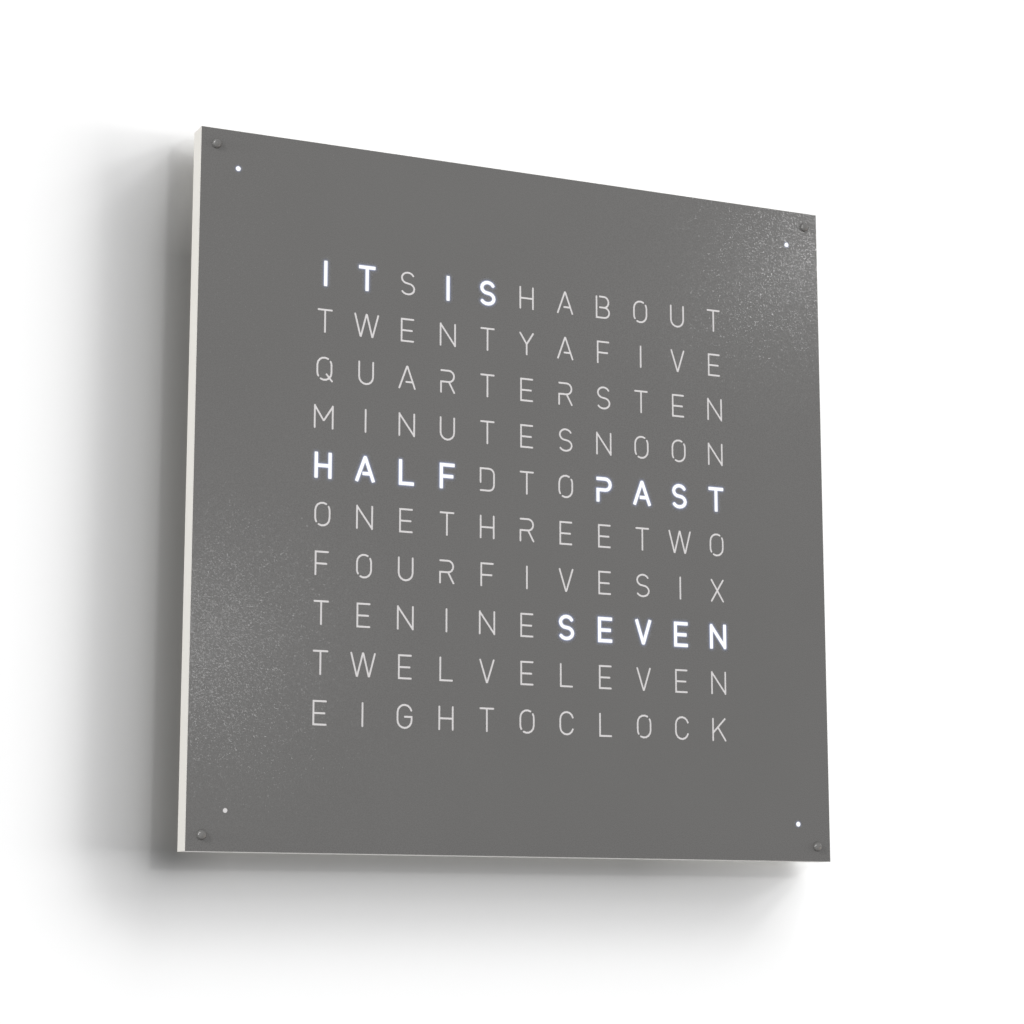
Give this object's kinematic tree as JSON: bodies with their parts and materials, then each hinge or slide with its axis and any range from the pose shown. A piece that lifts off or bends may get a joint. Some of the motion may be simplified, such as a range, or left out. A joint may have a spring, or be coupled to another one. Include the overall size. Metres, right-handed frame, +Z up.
{
  "type": "word clock",
  "caption": "Square wall clock that tells the time in lit words on a stencilled grey steel face, held by magnets on a shallow cream case.",
  "frame": {"origin": "middle of the flat back, on the wall plane", "axes": "+X right as seen from the front, +Y into the wall, +Z up"},
  "size_m": [0.4508, 0.0232, 0.45],
  "materials": {
    "face_steel": "fine sparkling grey coat",
    "opal": "satin opal acrylic",
    "polished_steel": "mirror polished",
    "case_cream": "smooth satin lacquer",
    "button_cream": "fine moulded satin",
    "magnet": "bright nickel plate",
    "zinc_steel": "zinc plated",
    "rivet": "satin",
    "black_plastic": "fine moulded",
    "white_plastic": "moulded white",
    "grommet_rubber": "matt",
    "board_green": "solder resist over glass laminate",
    "board_blue": "solder resist over glass laminate",
    "lamp": "lamp with phosphor window",
    "standoff_brass": "turned",
    "capacitor": "satin can",
    "terminal_green": "moulded",
    "ribbon": "ribbed flat cable"
  },
  "bodies": {
    "case": {"case_frame": "case_cream", "corner_magnets": "magnet", "rear_cover": "case_cream", "cover_screws": "zinc_steel", "hanger_plates": "zinc_steel", "hanger_rivets": "rivet", "hanger_covers": "black_plastic", "cable_grommet": "grommet_rubber", "light_grid": "white_plastic", "dot_tubes": "white_plastic", "lamp_board": "board_green", "lamps": "lamp", "board_standoffs": "standoff_brass", "board_screws": "zinc_steel", "controller_board": "board_blue", "controller_standoffs": "white_plastic", "controller_screws": "zinc_steel", "microcontroller": "black_plastic", "driver_chips": "black_plastic", "timing_crystal": "polished_steel", "capacitors": "capacitor", "power_terminal": "terminal_green", "cell_holder": "black_plastic", "backup_cell": "polished_steel", "ribbon_headers": "white_plastic", "lamp_ribbon": "ribbon", "button_ribbon": "ribbon", "button_bracket": "black_plastic", "bracket_screws": "zinc_steel", "button_board": "board_green", "button_switches": "black_plastic"},
    "face": {"face_plate": "face_steel", "opal_backing": "opal", "minute_dots": "opal", "corner_studs": "polished_steel"},
    "hour_button": {"hour_button": "button_cream"},
    "minute_button": {"minute_button": "button_cream"},
    "brightness_button": {"brightness_button": "button_cream"}
  },
  "joints": [
    {"name": "face_lift", "type": "slide", "parent": "case", "child": "face", "axis": [0, -1, 0], "range_m": [0, 0.06]},
    {"name": "hour_press", "type": "slide", "parent": "case", "child": "hour_button", "axis": [-1, 0, 0], "range_m": [0, 0.0009], "stiffness_N_per_m": 600},
    {"name": "minute_press", "type": "slide", "parent": "case", "child": "minute_button", "axis": [-1, 0, 0], "range_m": [0, 0.0009], "stiffness_N_per_m": 600},
    {"name": "brightness_press", "type": "slide", "parent": "case", "child": "brightness_button", "axis": [-1, 0, 0], "range_m": [0, 0.0009], "stiffness_N_per_m": 600}
  ]
}
